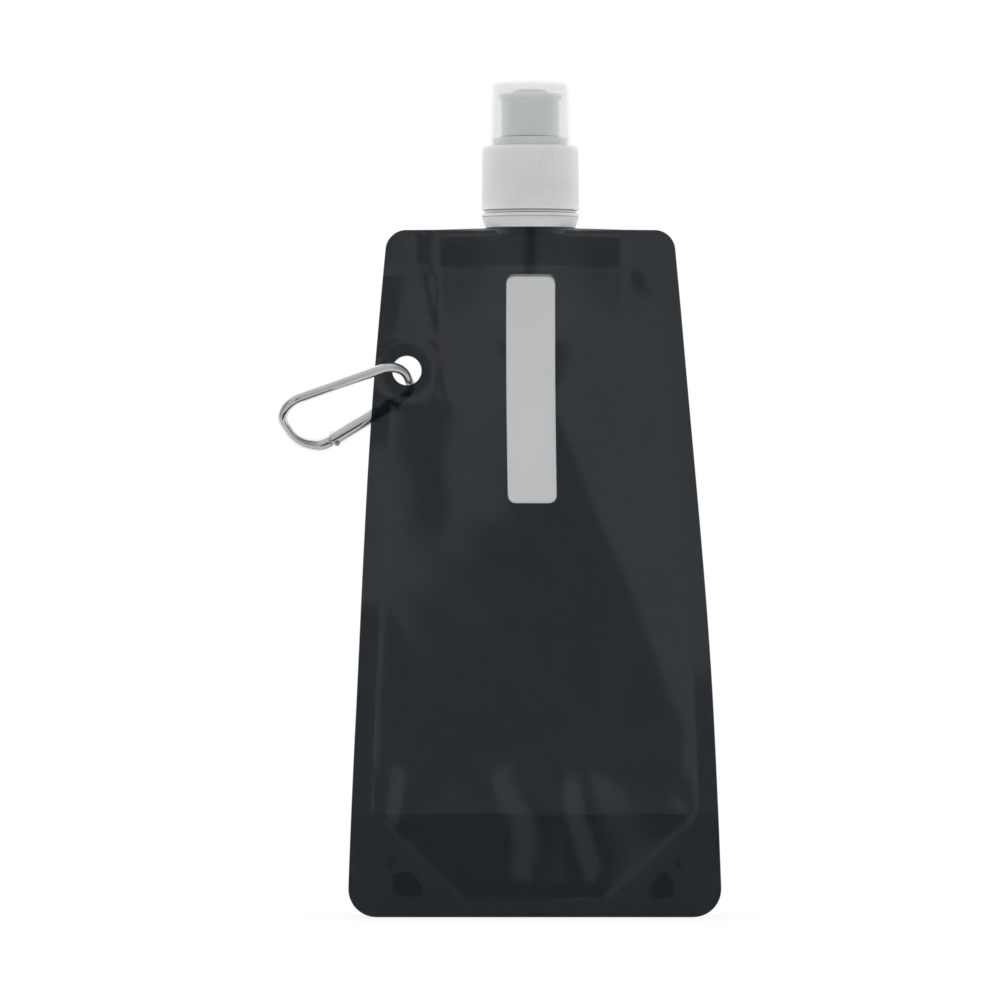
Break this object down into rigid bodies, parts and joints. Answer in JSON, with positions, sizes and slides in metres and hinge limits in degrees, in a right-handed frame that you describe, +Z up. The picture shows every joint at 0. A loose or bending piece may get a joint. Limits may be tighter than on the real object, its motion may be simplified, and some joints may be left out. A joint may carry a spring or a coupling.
{
  "type": "collapsible water bottle",
  "caption": "Flat folding film pouch bottle with a bottom gusset, sight window, screw spout, push-pull nozzle, clear dust cap and a clip-on carabiner through a hang hole.",
  "frame": {"origin": "middle of the pouch's bottom edge, midway between its front and back films", "axes": "+Z up along the spout's axis, -Y out of the front panel, +X to the right seen from the front"},
  "size_m": [0.1419, 0.0316, 0.27],
  "materials": {
    "smoke_film": "smoke-black translucent laminate film, softly glossy",
    "white_plastic": "satin moulded polyethylene",
    "clear_plastic": "clear moulded polypropylene",
    "seal_rubber": "soft sealing ring",
    "polished_aluminium": "polished bare aluminium",
    "pin_steel": "plain steel pins and spring"
  },
  "bodies": {
    "bag_upper": {"front_film_upper": "smoke_film", "back_film_upper": "smoke_film", "spout_fitment": "white_plastic", "tamper_band": "white_plastic"},
    "bag_lower": {"front_film_lower": "smoke_film", "back_film_lower": "smoke_film", "bottom_gusset": "smoke_film"},
    "cap_seal": {"cap_seal_ring": "seal_rubber"},
    "screw_cap": {"screw_cap": "white_plastic"},
    "nozzle": {"push_pull_nozzle": "white_plastic"},
    "dust_cap": {"dust_cap": "clear_plastic"},
    "carabiner": {"carabiner_body": "polished_aluminium", "gate_pivot_rivet": "pin_steel"},
    "gate": {"carabiner_gate": "polished_aluminium", "gate_nose_pin": "pin_steel", "gate_spring": "pin_steel", "gate_plunger": "pin_steel"}
  },
  "joints": [
    {"name": "bag_fold", "type": "hinge", "parent": "bag_upper", "child": "bag_lower", "pos_m": [0, -0.00205, 0.109], "axis": [-1, 0, 0], "range_deg": [0, 165]},
    {"name": "cap_lift", "type": "slide", "parent": "bag_upper", "child": "cap_seal", "axis": [0, 0, 1], "range_m": [0, 0.03]},
    {"name": "cap_turn", "type": "hinge", "parent": "cap_seal", "child": "screw_cap", "pos_m": [0, 0, 0.2287], "axis": [0, 0, 1], "continuous": true},
    {"name": "nozzle_pull", "type": "slide", "parent": "screw_cap", "child": "nozzle", "axis": [0, 0, 1], "range_m": [0, 0.0055]},
    {"name": "dust_cap_lift", "type": "slide", "parent": "nozzle", "child": "dust_cap", "axis": [0, 0, 1], "range_m": [0, 0.025]},
    {"name": "carabiner_swing", "type": "hinge", "parent": "bag_upper", "child": "carabiner", "pos_m": [-0.04001, 0, 0.1769], "axis": [0, 1, 0], "range_deg": [-35, 85]},
    {"name": "gate_open", "type": "hinge", "parent": "carabiner", "child": "gate", "pos_m": [-0.04437, 0.00576, 0.16634], "axis": [-0.3012, 0.7193, 0.6259], "range_deg": [0, 25], "stiffness_Nm_per_rad": 0.08, "springref_deg": -8.59}
  ]
}
